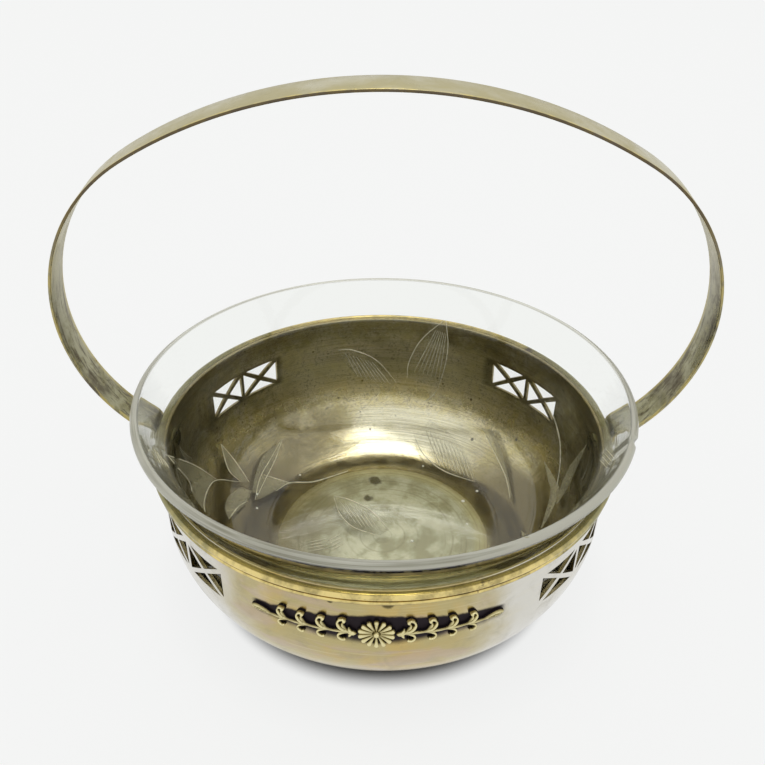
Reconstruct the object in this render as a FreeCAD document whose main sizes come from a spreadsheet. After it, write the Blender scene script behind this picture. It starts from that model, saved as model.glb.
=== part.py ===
# Sugar basket of thin plated brass: a pierced bowl with a swing handle and a lift-out glass liner.
# Millimetres, +Z up. The origin is the middle of the bowl's flat base, on the table.
# X runs through the two handle pivots, and the front of the basket faces -Y.

import FreeCAD, Part
import Sketcher
import math
import os

os.makedirs("parts", exist_ok=True)
doc = FreeCAD.newDocument("SugarBasket")
vec = FreeCAD.Vector

sizes = {
    # bowl: an upright wall of thin sheet that rolls into a flat base
    "rim_level": 39.0,
    "wall_inset": 1.8,
    "wall_rise": 0.4,
    "wall_upright": 14.7,
    "sheet_metal": 0.7,
    # four pierced panels of two cells, each cell a frame crossed by two bars
    "panel_angle": 51.4,
    "cell_pitch": 14.0,
    "cell_post": 0.97,
    "cell_height": 8.2,
    "cell_bar": 1.0,
    "cell_drop": 11.1,
    # rim wire: a round bead over a thin ridge, both on a strip against the wall
    "rim_radius": 55.0,
    "bead_radius": 0.8,
    "ridge_radius": 0.45,
    "ridge_drop": 1.65,
    "ridge_inset": 0.35,
    # garlands: a stem with pairs of scrolls, a leaf at each end and a rosette in the middle
    "garland_drop": 11.1,
    "garland_turn": -1.0,
    "garland_relief": 0.8,
    "stem_relief": 0.55,
    "solder_gap": 0.02,
    "stem_height": 0.8,
    "stem_angle": 25.1,
    "scroll_first": 7.0,
    "scroll_pitch": 4.5,
    "scroll_band": 0.75,
    "scroll_bulb": 0.6,
    "scroll_tip": 0.2,
    "scroll_sweep": 235.0,
    "upper_scroll": 1.75,
    "lower_scroll": 1.45,
    "husk_angle": 5.3,
    "husk_length": 2.4,
    "husk_width": 1.9,
    "leaf_length": 5.0,
    "leaf_width": 1.9,
    "rosette_radius": 3.7,
    "rosette_relief": 1.1,
    "petal_root": 0.5,
    "petal_width": 1.4,
    "disc_radius": 3.0,
    "disc_relief": 0.75,
    "boss_radius": 0.9,
    "boss_relief": 1.5,
    # handle: one flat strap bent to a hoop, its two ends hung on rivets under the rim
    "strap_width": 7.7,
    "strap_thickness": 0.8,
    "strap_end_round": 3.8,
    "hoop_swell": 14.5,
    "hoop_wide_level": 31.0,
    "hoop_top_level": 81.5,
    "hoop_shoulder_share": 0.85,
    "hoop_tab": 3.6,
    "hoop_foot": 2.2,
    "hoop_lean": 6.0,
    "rim_clearance": 0.3,
    "pivot_drop": 5.0,
    # rivets, and the spacers that hold the strap clear of the rim
    "rivet_radius": 1.2,
    "head_radius": 2.2,
    "head_height": 1.1,
    "head_round": 0.9,
    "tail_radius": 2.0,
    "tail_height": 0.3,
    "tail_gap": 0.1,
    "spacer_radius": 2.5,
    "pivot_play": 0.05,
    "side_play": 0.08,
    # glass liner: the bowl's own form inside it, with a flared neck and a rounded lip
    "liner_clearance": 0.9,
    "liner_lift": 0.3,
    "glass_wall": 2.0,
    "glass_floor": 2.6,
    "flare_angle": 30.5,
    "flare_length": 11.85,
    "neck_round": 9.0,
    # by how much every cut runs past what it cuts
    "overrun": 2.0,
}
petal_count = 14
scroll_count = 4
# curves of turned and repeated forms are drawn in flats, so many to each curve
corner_flats = 5
bead_flats = 6
ridge_flats = 4
neck_flats = 2
lip_flats = 3
head_flats = 2
scroll_flats = 5
bulb_flats = 6
boss_flats = 10

sheet = doc.addObject("Spreadsheet::Sheet", "Sizes")
for row, (name, size) in enumerate(sizes.items(), start=1):
    sheet.set("A%d" % row, name)
    sheet.set("B%d" % row, str(size))
    sheet.setAlias("B%d" % row, name)
doc.recompute()


# Sizes are written [like_this] in the formulas below, which drive the sketches and features.


def named(formula):
    return formula.replace("[", "Sizes.").replace("]", "")


def worth(formula):
    result = sheet.evalExpression(named(formula))
    return float(getattr(result, "Value", result))


# Places that several pieces share

wall_face = "([rim_radius] - [wall_inset])"
wall_top = "([rim_level] + [wall_rise])"
base_corner = "([rim_level] - [wall_upright])"
pivot_level = "([rim_level] - [pivot_drop])"
garland_level = "([rim_level] - [garland_drop])"
strap_inner = "([rim_radius] + [rim_clearance])"
strap_outer = "(%s + [strap_thickness])" % strap_inner


# Sketches


def new_body(label):
    body = doc.addObject("PartDesign::Body", label)
    body.Label = label
    return body


def origin_feature(body, role):
    return [feature for feature in body.Origin.OriginFeatures if feature.Role == role][0]


def new_sketch(body, name, plane="XZ_Plane", turn="0", out="0", level="0"):
    # a sketch on an origin plane, raised to a level, turned about +Z and moved out along its normal
    sketch = body.newObject("Sketcher::SketchObject", name)
    sketch.AttachmentSupport = [(origin_feature(body, plane), "")]
    sketch.MapMode = "FlatFace"
    rotation = FreeCAD.Rotation(vec(0, 1, 0), worth(turn))
    place = rotation.multVec(vec(0, 0, worth(out))) + vec(0, worth(level), 0)
    sketch.AttachmentOffset = FreeCAD.Placement(place, rotation)
    for path, formula in (
        ("Rotation.Angle", turn),
        ("Base.x", "%s * sin(%s)" % (out, turn)),
        ("Base.y", level),
        ("Base.z", "%s * cos(%s)" % (out, turn)),
    ):
        if abs(worth(formula)) > 0 and (turn != "0" or path != "Rotation.Angle"):
            sketch.setExpression("AttachmentOffset." + path, named(formula))
    return sketch


def hold(sketch, kind, formula, *where):
    # a driven constraint on a piece of geometry
    rule = sketch.addConstraint(Sketcher.Constraint(kind, *where, worth(formula)))
    sketch.setExpression("Constraints[%d]" % rule, named(formula))


def lay_on(sketch, geometry, vertex, curve):
    sketch.addConstraint(Sketcher.Constraint("PointOnObject", geometry, vertex, curve))


def hold_point(sketch, geometry, vertex, across, up):
    # fixes a point by its two coordinates, or on an axis where a coordinate is zero
    for kind, formula, axis in (("DistanceX", across, -2), ("DistanceY", up, -1)):
        if formula == "0":
            lay_on(sketch, geometry, vertex, axis)
        else:
            hold(sketch, kind, formula, -1, 1, geometry, vertex)


def join(sketch, kind, first, first_end, second, second_end):
    sketch.addConstraint(Sketcher.Constraint(kind, first, first_end, second, second_end))


def circle(sketch, across, up, radius):
    centre = vec(worth(across), worth(up), 0)
    ring = sketch.addGeometry(Part.Circle(centre, vec(0, 0, 1), worth(radius)))
    hold_point(sketch, ring, 3, across, up)
    hold(sketch, "Radius", radius, ring)


def arc(sketch, centre, radius, start, end):
    # an arc anticlockwise between two angles in degrees
    ring = Part.Circle(centre, vec(0, 0, 1), radius)
    return sketch.addGeometry(Part.ArcOfCircle(ring, math.radians(start), math.radians(end)))


def line(sketch, start, end):
    return sketch.addGeometry(Part.LineSegment(start, end))


def outline(sketch, corners):
    # a closed outline of straight sides through corners (across, up)
    points = [vec(worth(across), worth(up), 0) for across, up in corners]
    sides = [line(sketch, point, points[(i + 1) % len(points)]) for i, point in enumerate(points)]
    for i, (across, up) in enumerate(corners):
        join(sketch, "Coincident", sides[i - 1], 2, sides[i], 1)
        hold_point(sketch, sides[i], 1, across, up)


def flats(across, up, radius, first, last, count):
    # corners of the flats that go round a centre from one angle to another
    corners = []
    for i in range(count):
        step = "((%s - %s) / %d)" % (last, first, count)
        angle = "(%s + %s * %g)" % (first, step, i + 0.5)
        reach = "(%s / cos(%s / 2))" % (radius, step)
        corners.append((
            "(%s + %s * cos(%s))" % (across, reach, angle),
            "(%s + %s * sin(%s))" % (up, reach, angle),
        ))
    return corners


# Features


def pad(body, sketch, name, length, symmetric=False):
    feature = body.newObject("PartDesign::Pad", name)
    feature.Profile = sketch
    feature.SideType = "Symmetric" if symmetric else "One side"
    feature.setExpression("Length", named(length))
    return feature


def pocket(body, sketch, name, length, symmetric=False, backwards=False):
    feature = body.newObject("PartDesign::Pocket", name)
    feature.Profile = sketch
    feature.SideType = "Symmetric" if symmetric else "One side"
    feature.Reversed = backwards
    feature.setExpression("Length", named(length))
    return feature


def turned(body, sketch, name, kind="Revolution", axis="V_Axis", angle="360"):
    feature = body.newObject("PartDesign::" + kind, name)
    feature.Profile = sketch
    feature.ReferenceAxis = (sketch, [axis])
    feature.setExpression("Angle", named(angle))
    return feature


def round_pattern(body, originals, name, axis, spacing, count):
    feature = body.newObject("PartDesign::PolarPattern", name)
    feature.Originals = originals
    feature.Axis = axis
    feature.Mode = "Spacing"
    feature.Occurrences = count
    feature.setExpression("Offset", named(spacing))
    body.Tip = feature
    return feature


def mirror_whole(body, name):
    # the other half of a piece that is alike on both sides of X = 0
    doc.recompute()
    feature = body.newObject("PartDesign::Mirrored", name)
    feature.TransformMode = "Whole shape"
    feature.MirrorPlane = (origin_feature(body, "YZ_Plane"), [""])
    body.Tip = feature
    return feature


def seat_on_wall(body, name):
    # removes what reaches inside the wall's outer face, so that the piece lies on the wall
    sketch = new_sketch(body, name + "_section")
    outline(sketch, [
        ("0", "0"),
        ("(%s + [solder_gap])" % wall_face, "0"),
        ("(%s + [solder_gap])" % wall_face, wall_top),
        ("0", wall_top),
    ])
    return turned(body, sketch, name, kind="Groove")


# Bowl


def build_bowl():
    body = new_body("bowl_shell")
    outside = new_sketch(body, "bowl_outside")
    corner_middle = "(%s - %s)" % (wall_face, base_corner)
    corner = flats(corner_middle, base_corner, base_corner, "-90", "0", corner_flats)
    outline(outside, [("0", "0")] + corner + [(wall_face, wall_top), ("0", wall_top)])
    turned(body, outside, "bowl_blank")
    mouth = "(%s + [overrun])" % wall_top
    inside = new_sketch(body, "bowl_inside")
    inner_corner = "(%s - [sheet_metal])" % base_corner
    hollow = flats(corner_middle, base_corner, inner_corner, "-90", "0", corner_flats)
    inner_wall = "(%s - [sheet_metal])" % wall_face
    outline(inside, [("0", "[sheet_metal]")] + hollow + [(inner_wall, mouth), ("0", mouth)])
    turned(body, inside, "bowl_hollow", kind="Groove")
    through = "([wall_inset] + [sheet_metal] + 2 * [overrun])"
    for facing, half in ((0, "front"), (180, "back")):
        for side, hand in ((-1, "left"), (1, "right")):
            for end, place in ((-1, "inner"), (1, "outer")):
                turn = "(%d + %d * ([panel_angle] + %d * [cell_pitch] / 2))" % (facing, side, end)
                cell = new_sketch(body, "cell_%s_%s_%s" % (half, hand, place), turn=turn, out="[rim_radius]")
                draw_cell(cell)
                pocket(body, cell, "cut_%s_%s_%s" % (half, hand, place), through)
    for side, hand in ((-1, "left"), (1, "right")):
        hole = new_sketch(body, "rivet_%s" % hand, plane="YZ_Plane", out="%d * [rim_radius]" % side)
        circle(hole, "0", pivot_level, "([rivet_radius] + [pivot_play])")
        pocket(body, hole, "rivet_hole_%s" % hand, through, backwards=side < 0)
    return body


def draw_cell(sketch):
    # the four triangles that a frame and its two crossing bars leave open
    level = "([rim_level] - [cell_drop])"
    width = "(2 * %s * sin([cell_pitch] / 2) - [cell_post])" % wall_face
    half_width = "(%s / 2)" % width
    half_height = "([cell_height] / 2)"
    diagonal = "sqrt(%s ^ 2 + [cell_height] ^ 2)" % width
    gap_up = "([cell_bar] / 2 * %s / %s)" % (diagonal, width)
    gap_across = "([cell_bar] / 2 * %s / [cell_height])" % diagonal
    reach_across = "((%s - %s) * %s / [cell_height])" % (half_height, gap_up, width)
    reach_up = "((%s - %s) * [cell_height] / %s)" % (half_width, gap_across, width)
    for way in (1, -1):
        edge = "(%s + %d * %s)" % (level, way, half_height)
        outline(sketch, [
            ("0", "(%s + %d * %s)" % (level, way, gap_up)),
            ("-1 * %s" % reach_across, edge),
            (reach_across, edge),
        ])
        side = "%d * %s" % (way, half_width)
        outline(sketch, [
            ("%d * %s" % (way, gap_across), level),
            (side, "(%s + %s)" % (level, reach_up)),
            (side, "(%s - %s)" % (level, reach_up)),
        ])


# Rim wire


def build_rim():
    body = new_body("rim_wire")
    inner = "(%s + [solder_gap])" % wall_face
    ridge_middle = "([rim_radius] - [ridge_inset] - [ridge_radius])"
    ridge_level = "([rim_level] - [ridge_drop])"
    strip = new_sketch(body, "strip_section")
    outline(strip, [
        (inner, ridge_level),
        (ridge_middle, ridge_level),
        (ridge_middle, wall_top),
        (inner, wall_top),
    ])
    turned(body, strip, "strip")
    bead = new_sketch(body, "bead_section")
    bead_middle = "([rim_radius] - [bead_radius])"
    outline(bead, flats(bead_middle, "[rim_level]", "[bead_radius]", "-90", "270", bead_flats))
    turned(body, bead, "bead")
    ridge = new_sketch(body, "ridge_section")
    outline(ridge, flats(ridge_middle, ridge_level, "[ridge_radius]", "-90", "270", ridge_flats))
    turned(body, ridge, "ridge")
    return body


# Garlands


def build_garland(label, facing):
    # the half to the right of the rosette is drawn, patterned and mirrored
    body = new_body(label)
    face = wall_face
    root = "(%s - [overrun])" % face
    height = "([overrun] + [garland_relief])"

    stem = new_sketch(body, label + "_stem_section", plane="YZ_Plane")
    outline(stem, [
        ("-1 * %s" % root, "(%s - [stem_height] / 2)" % garland_level),
        ("-1 * %s" % root, "(%s + [stem_height] / 2)" % garland_level),
        ("-1 * (%s + [stem_relief])" % face, "(%s + [stem_height] / 2)" % garland_level),
        ("-1 * (%s + [stem_relief])" % face, "(%s - [stem_height] / 2)" % garland_level),
    ])
    turned(body, stem, label + "_stem", angle="[stem_angle]")

    # each scroll springs from the stem, swings outward and back, and ends in a round bulb
    scrolls = []
    end = "([scroll_sweep] - 90)"
    for name, way, radius in (("upper", 1, "[upper_scroll]"), ("lower", -1, "[lower_scroll]")):
        inner = "(%s - [scroll_band])" % radius
        middle = "(%s - [scroll_band] / 2)" % radius
        level = "(%s + %d * (%s + [stem_height] / 4))" % (garland_level, way, radius)
        hook = [("0", "-%s" % radius)]
        hook += flats("0", "0", radius, "-90", end, scroll_flats)
        hook += [("(%s * cos%s)" % (reach, end), "(%s * sin%s)" % (reach, end)) for reach in (radius, inner)]
        hook += flats("0", "0", inner, end, "-90", scroll_flats)
        hook += [("0", "-%s" % inner)]
        band = new_sketch(body, "%s_%s_band" % (label, name), turn="[scroll_first]", out=root, level=level)
        outline(band, [(across, "(%d * %s)" % (way, up)) for across, up in hook])
        bulb = new_sketch(body, "%s_%s_bulb" % (label, name), turn="[scroll_first]", out=root, level=level)
        tip = ("(%s * cos%s)" % (middle, end), "(%d * %s * sin%s)" % (way, middle, end))
        outline(bulb, flats(tip[0], tip[1], "[scroll_bulb]", "0", "360", bulb_flats))
        scrolls.append(pad(body, band, "%s_%s_hook" % (label, name), height))
        scrolls.append(pad(body, bulb, "%s_%s_tip" % (label, name), "(%s + [scroll_tip])" % height))
    upright = (origin_feature(body, "Z_Axis"), [""])
    round_pattern(body, scrolls, label + "_scrolls", upright, "[scroll_pitch]", scroll_count)

    for name, middle, length, width in (
        ("husk", "[husk_angle]", "[husk_length]", "[husk_width]"),
        ("leaf", "[stem_angle]", "[leaf_length]", "[leaf_width]"),
    ):
        shape = new_sketch(body, "%s_%s_shape" % (label, name), turn=middle, out=root, level=garland_level)
        outline(shape, [
            ("-1 * (%s / 2)" % length, "0"),
            ("-1 * (%s / 6)" % length, "-1 * (%s / 2)" % width),
            ("(%s / 6)" % length, "-1 * (%s / 2)" % width),
            ("(%s / 2)" % length, "0"),
            ("(%s / 6)" % length, "(%s / 2)" % width),
            ("-1 * (%s / 6)" % length, "(%s / 2)" % width),
        ])
        pad(body, shape, "%s_%s" % (label, name), height)
    mirror_whole(body, label + "_both_halves")

    disc = new_sketch(body, label + "_disc_shape", out=root, level=garland_level)
    outline(disc, flats("0", "0", "[disc_radius]", "0", "360", petal_count))
    pad(body, disc, label + "_disc", "([overrun] + [disc_relief])")
    petal = new_sketch(body, label + "_petal_shape", out=root, level=garland_level)
    outline(petal, [
        ("0", "[petal_root]"),
        ("([petal_width] / 2)", "([rosette_radius] - [petal_width] / 3)"),
        ("([petal_width] / 4)", "[rosette_radius]"),
        ("-1 * ([petal_width] / 4)", "[rosette_radius]"),
        ("-1 * ([petal_width] / 2)", "([rosette_radius] - [petal_width] / 3)"),
    ])
    petal_pad = pad(body, petal, label + "_petal", "([overrun] + [rosette_relief])")
    round_pattern(body, [petal_pad], label + "_petals", (petal, ["N_Axis"]), "360 / %d" % petal_count, petal_count)
    boss = new_sketch(body, label + "_boss_shape", out=root, level=garland_level)
    outline(boss, flats("0", "0", "[boss_radius]", "0", "360", boss_flats))
    pad(body, boss, label + "_boss", "([overrun] + [boss_relief])")
    seat_on_wall(body, label + "_seat")
    turn = "%d + [garland_turn]" % facing
    body.Placement = FreeCAD.Placement(vec(), FreeCAD.Rotation(vec(0, 0, 1), worth(turn)))
    body.setExpression("Placement.Rotation.Angle", named(turn))
    return body


# Handle


def build_handle():
    # drawn upright round its pivot line, and then leant towards the front
    body = new_body("handle_strap")
    thick = worth("[strap_thickness]")
    top = "([pivot_drop] + [hoop_top_level])"
    wide_level = "([pivot_drop] + [hoop_wide_level])"
    half_span = "(%s + [hoop_swell])" % strap_outer
    shoulder_round = "([hoop_shoulder_share] * ([hoop_top_level] - [hoop_wide_level]))"
    foot_bend = "(2 * atan([hoop_swell] / (%s - [hoop_tab])))" % wide_level
    flank_round = "((%s - [hoop_tab]) / sin(%s) - [hoop_foot])" % (wide_level, foot_bend)
    shoulder = worth(shoulder_round)
    flank = worth(flank_round)
    foot = worth("[hoop_foot]")
    span = worth(half_span)
    rise = worth("[hoop_top_level] - [hoop_wide_level]")
    middle = span - shoulder
    crown = (middle ** 2 + rise ** 2 - shoulder ** 2) / (2 * (rise - shoulder))
    crown_centre = vec(0, worth(top) - crown, 0)
    shoulder_centre = vec(middle, worth(wide_level), 0)
    flank_centre = vec(span - flank, worth(wide_level), 0)
    meet = math.degrees(math.atan2(shoulder_centre.y - crown_centre.y, middle))
    bend = worth(foot_bend)
    foot_ray = vec(math.cos(math.radians(bend)), -math.sin(math.radians(bend)), 0)
    foot_centre = flank_centre + foot_ray * (flank + foot)

    hoop = new_sketch(body, "hoop_outline")
    rows = []
    for skin in (0, thick):
        tab = worth(strap_outer) - skin
        rows.append([
            arc(hoop, crown_centre, crown - skin, meet, 90),
            arc(hoop, shoulder_centre, shoulder - skin, 0, meet),
            arc(hoop, flank_centre, flank - skin, -bend, 0),
            arc(hoop, foot_centre, foot + skin, 180 - bend, 180),
            line(hoop, vec(tab, foot_centre.y, 0), vec(tab, -worth("[strap_width] / 2"), 0)),
        ])
    for run in rows:
        join(hoop, "Tangent", run[0], 1, run[1], 2)
        join(hoop, "Tangent", run[1], 1, run[2], 2)
        join(hoop, "Tangent", run[2], 1, run[3], 1)
        join(hoop, "Tangent", run[3], 2, run[4], 1)
        hoop.addConstraint(Sketcher.Constraint("Vertical", run[4]))
    outer, inner = rows
    hold_point(hoop, outer[0], 2, "0", top)
    hold_point(hoop, inner[0], 2, "0", "(%s - [strap_thickness])" % top)
    lay_on(hoop, outer[0], 3, -2)
    hold(hoop, "Radius", shoulder_round, outer[1])
    hold(hoop, "Radius", flank_round, outer[2])
    hold(hoop, "Radius", "[hoop_foot]", outer[3])
    hold(hoop, "DistanceX", half_span, -1, 1, outer[1], 1)
    hold(hoop, "DistanceY", wide_level, -1, 1, outer[1], 3)
    hold(hoop, "DistanceY", wide_level, -1, 1, outer[2], 3)
    hold_point(hoop, outer[4], 2, strap_outer, "-1 * ([strap_width] / 2)")
    hold(hoop, "DistanceY", "-1 * ([strap_width] / 2)", -1, 1, inner[4], 2)
    for one, other in zip(inner[:4], outer[:4]):
        join(hoop, "Coincident", one, 3, other, 3)
    for end, vertex in ((0, 2), (4, 2)):
        closing = line(hoop, hoop.getPoint(outer[end], vertex), hoop.getPoint(inner[end], vertex))
        join(hoop, "Coincident", closing, 1, outer[end], vertex)
        join(hoop, "Coincident", closing, 2, inner[end], vertex)
    half = pad(body, hoop, "hoop_half", "[strap_width]", symmetric=True)
    doc.recompute()

    low = -worth("[strap_width] / 2")
    corners = [
        "Edge%d" % (i + 1)
        for i, edge in enumerate(half.Shape.Edges)
        if edge.BoundBox.ZMax < low + thick / 2 and edge.BoundBox.YLength < thick / 2
    ]
    ends = body.newObject("PartDesign::Fillet", "strap_ends")
    ends.Base = (half, corners)
    ends.setExpression("Radius", named("[strap_end_round]"))
    mirror_whole(body, "hoop_both_halves")
    hole = new_sketch(body, "pivot_hole", plane="YZ_Plane")
    circle(hole, "0", "0", "([rivet_radius] + [pivot_play])")
    pocket(body, hole, "pivot_holes", "(2 * (%s + [overrun]))" % strap_outer, symmetric=True)
    lean = FreeCAD.Rotation(vec(1, 0, 0), worth("[hoop_lean]"))
    body.Placement = FreeCAD.Placement(vec(0, 0, worth(pivot_level)), lean)
    body.setExpression("Placement.Rotation.Angle", named("[hoop_lean]"))
    body.setExpression("Placement.Base.z", named(pivot_level))
    return body


# Rivets and spacers


def build_spacer(label, facing):
    # drawn round +X and turned about +Z to its own side
    body = new_body(label)
    shape = new_sketch(body, label + "_section", level=pivot_level)
    bore = "([rivet_radius] + [pivot_play])"
    outline(shape, [
        ("(%s - [overrun])" % wall_face, bore),
        ("(%s - [side_play])" % strap_inner, bore),
        ("(%s - [side_play])" % strap_inner, "[spacer_radius]"),
        ("(%s - [overrun])" % wall_face, "[spacer_radius]"),
    ])
    turned(body, shape, label + "_ring", axis="H_Axis")
    seat_on_wall(body, label + "_seat")
    body.Placement = FreeCAD.Placement(vec(), FreeCAD.Rotation(vec(0, 0, 1), facing))
    return body


def build_rivet(label, facing):
    body = new_body(label)
    shape = new_sketch(body, label + "_section", level=pivot_level)
    tail = "(%s - [sheet_metal] - [tail_gap])" % wall_face
    head = "(%s + [side_play])" % strap_outer
    dome_middle = "(%s + [head_height] - [head_round])" % head
    dome_rise = "([head_radius] - [head_round])"
    dome = flats(dome_middle, dome_rise, "[head_round]", "90", "0", head_flats)
    outline(shape, [
        ("(%s - [tail_height])" % tail, "0"),
        ("(%s - [tail_height])" % tail, "[tail_radius]"),
        (tail, "[tail_radius]"),
        (tail, "[rivet_radius]"),
        (head, "[rivet_radius]"),
        (head, "[head_radius]"),
    ] + dome + [
        ("(%s + [head_height])" % head, "0"),
    ])
    turned(body, shape, label + "_turned", axis="H_Axis")
    body.Placement = FreeCAD.Placement(vec(), FreeCAD.Rotation(vec(0, 0, 1), facing))
    return body


# Glass liner


def build_liner():
    body = new_body("glass_liner")
    base = "([sheet_metal] + [liner_lift])"
    floor = "(%s + [glass_floor])" % base
    outer = "(%s - [sheet_metal] - [liner_clearance])" % wall_face
    corner = "(%s - [sheet_metal] - [liner_clearance])" % base_corner
    corner_middle = "(%s - %s)" % (outer, corner)
    neck_middle = "(%s + [neck_round])" % outer
    neck_level = "([rim_level] - [neck_round] * tan([flare_angle] / 2))"
    lip_middle = "(%s + [flare_length] * sin([flare_angle]) - [glass_wall] / 2 * cos([flare_angle]))" % outer
    lip_level = "([rim_level] + [flare_length] * cos([flare_angle]) + [glass_wall] / 2 * sin([flare_angle]))"
    neck_end = "(180 - [flare_angle])"
    section = new_sketch(body, "liner_section")
    outline(
        section,
        [("0", base)]
        + flats(corner_middle, "(%s + %s)" % (base, corner), corner, "-90", "0", corner_flats)
        + flats(neck_middle, neck_level, "[neck_round]", "180", neck_end, neck_flats)
        + flats(lip_middle, lip_level, "([glass_wall] / 2)", "-[flare_angle]", neck_end, lip_flats)
        + flats(neck_middle, neck_level, "([neck_round] + [glass_wall])", neck_end, "180", neck_flats)
        + flats(
            corner_middle,
            "(%s + %s - [glass_wall])" % (floor, corner),
            "(%s - [glass_wall])" % corner,
            "0",
            "-90",
            corner_flats,
        )
        + [("0", floor)],
    )
    turned(body, section, "liner_blown")
    return body


parts = [
    build_bowl(),
    build_rim(),
    build_garland("front_garland", 0),
    build_garland("back_garland", 180),
    build_spacer("right_spacer", 0),
    build_spacer("left_spacer", 180),
    build_rivet("right_rivet", 0),
    build_rivet("left_rivet", 180),
    build_handle(),
    build_liner(),
]
doc.recompute()

for item in doc.Objects:
    if "Invalid" in item.State or "Error" in item.State:
        raise RuntimeError("%s failed: %s" % (item.Name, item.State))
for item in doc.findObjects("Sketcher::SketchObject"):
    if not item.FullyConstrained:
        raise RuntimeError("%s is not fully constrained" % item.Name)
for part in parts:
    if part.Shape.isNull() or not part.Shape.isValid() or len(part.Shape.Solids) != 1:
        raise RuntimeError("%s is not one valid solid" % part.Label)

for part in parts:
    part.Shape.exportStep("parts/%s.step" % part.Label)
    print("%s %.1f mm3" % (part.Label, part.Shape.Volume))
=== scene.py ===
import bpy
import bmesh
import math
import random
from itertools import product
import numpy as np
from mathutils import Vector, Matrix
from mathutils.bvhtree import BVHTree


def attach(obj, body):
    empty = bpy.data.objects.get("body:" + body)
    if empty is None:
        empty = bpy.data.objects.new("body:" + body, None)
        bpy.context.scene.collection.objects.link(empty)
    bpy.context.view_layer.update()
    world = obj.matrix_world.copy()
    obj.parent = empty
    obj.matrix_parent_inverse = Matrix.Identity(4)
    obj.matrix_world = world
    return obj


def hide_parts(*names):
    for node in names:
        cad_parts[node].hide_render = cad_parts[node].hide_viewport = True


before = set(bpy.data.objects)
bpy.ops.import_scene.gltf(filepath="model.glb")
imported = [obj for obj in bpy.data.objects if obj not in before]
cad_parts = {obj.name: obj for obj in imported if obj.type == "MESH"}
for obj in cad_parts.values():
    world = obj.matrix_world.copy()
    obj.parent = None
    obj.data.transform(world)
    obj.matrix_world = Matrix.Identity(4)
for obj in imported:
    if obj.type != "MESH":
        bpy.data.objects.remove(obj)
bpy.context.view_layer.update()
mm = 0.001
print("frame loaded", len(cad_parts), "nodes")

# the camera stands where the photograph was taken from
shot = {
    "place": (0.0, -0.15275, 0.15023),
    "ahead": (-0.00244346, 0.83827812, -0.54523741),
    "up": (-0.01246129, 0.54517118, 0.83823213),
    "lens": 36.58,
    "sensor": 36,
    "clip": (0.01, 20),
    "pixels": 765,
}


def cameraAxes():
    ahead = Vector(shot["ahead"]).normalized()
    right = ahead.cross(Vector(shot["up"])).normalized()
    return right, right.cross(ahead), ahead


def addObject(name, data):
    thing = bpy.data.objects.new(name, data)
    bpy.context.scene.collection.objects.link(thing)
    return thing


def makeCamera():
    data = bpy.data.cameras.new("studioCamera")
    data.lens = shot["lens"]
    data.sensor_width = shot["sensor"]
    data.clip_start, data.clip_end = shot["clip"]
    camera = addObject("studioCamera", data)
    right, up, ahead = cameraAxes()
    turn = Matrix((right, up, -ahead)).transposed()
    camera.matrix_world = Matrix.Translation(shot["place"]) @ turn.to_4x4()
    bpy.context.scene.camera = camera


def searchable(mesh):
    corners = [vert.co for vert in mesh.vertices]
    return BVHTree.FromPolygons(corners, [face.vertices[:] for face in mesh.polygons])


def throw(tree, pixel):
    # where the sight line through a pixel of the photograph first meets a mesh, and the way out there
    right, up, ahead = cameraAxes()
    focal = shot["lens"] / shot["sensor"] * shot["pixels"]
    middle = shot["pixels"] / 2
    sight = ahead * focal + right * (pixel[0] - middle) + up * (middle - pixel[1])
    spot, out = tree.ray_cast(Vector(shot["place"]), sight.normalized())[:2]
    if out.dot(sight) > 0:
        out = -out
    return spot, out


makeCamera()

# material helpers, which add to the node tree that was opened last
current = {}


def feed(socket, value):
    # a link for another node's output, a setting for anything else
    if isinstance(value, bpy.types.NodeSocket):
        current["tree"].links.new(value, socket)
    elif value is not None:
        socket.default_value = (*value, 1) if socket.type == "RGBA" else value


def addNode(kind, sockets=None, **settings):
    node = current["tree"].nodes.new("ShaderNode" + kind)
    for key, value in settings.items():
        setattr(node, key, value)
    for key, value in (sockets or {}).items():
        feed(node.inputs[key], value)
    return node


def calc(operation, first, second=None, third=None):
    return addNode("Math", {0: first, 1: second, 2: third}, operation=operation).outputs[0]


def times(*values):
    result = values[0]
    for value in values[1:]:
        result = calc("MULTIPLY", result, value)
    return result


def strayed(value, noise, reach):
    # a value that a noise moves up and down
    return calc("MULTIPLY_ADD", calc("SUBTRACT", noise, 0.5), reach, value)


def clouds(vector, scale, detail=4, rough=0.55, swirl=0.0):
    # three scales stretch the noise
    if isinstance(scale, tuple):
        vector, scale = addNode("Mapping", {"Vector": vector, "Scale": scale}).outputs[0], 1.0
    sockets = {"Vector": vector, "Scale": scale, "Detail": detail, "Roughness": rough, "Distortion": swirl}
    return addNode("TexNoise", sockets).outputs["Fac"]


def band(value, low, high, start=0.0, end=1.0):
    # goes softly from start to end while the value goes from low to high
    sockets = {"Value": value, "From Min": low, "From Max": high, "To Min": start, "To Max": end}
    return addNode("MapRange", sockets, interpolation_type="SMOOTHSTEP").outputs[0]


def blend(amount, first, second):
    return addNode("Mix", {0: amount, 6: first, 7: second}, data_type="RGBA").outputs[2]


def within(measure, low, high, soft):
    # masks of a range with soft ends
    return (measure, low - soft, low + soft), (measure, high - soft, high + soft, 1.0, 0.0)


def covered(masks, measures):
    # a mask is a share, the name of a ready mask, or a measure's name and its band
    values = []
    for mask in masks:
        if isinstance(mask, str):
            mask = measures[mask]
        elif isinstance(mask, tuple):
            mask = band(measures[mask[0]], *mask[1:])
        values.append(mask)
    return times(*values)


def lay(colour, coats, measures, paints):
    # coats over a first colour, each of them a paint and its masks
    for paint, *masks in coats:
        colour = blend(covered(masks, measures), colour, paints[paint])
    return colour


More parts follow.
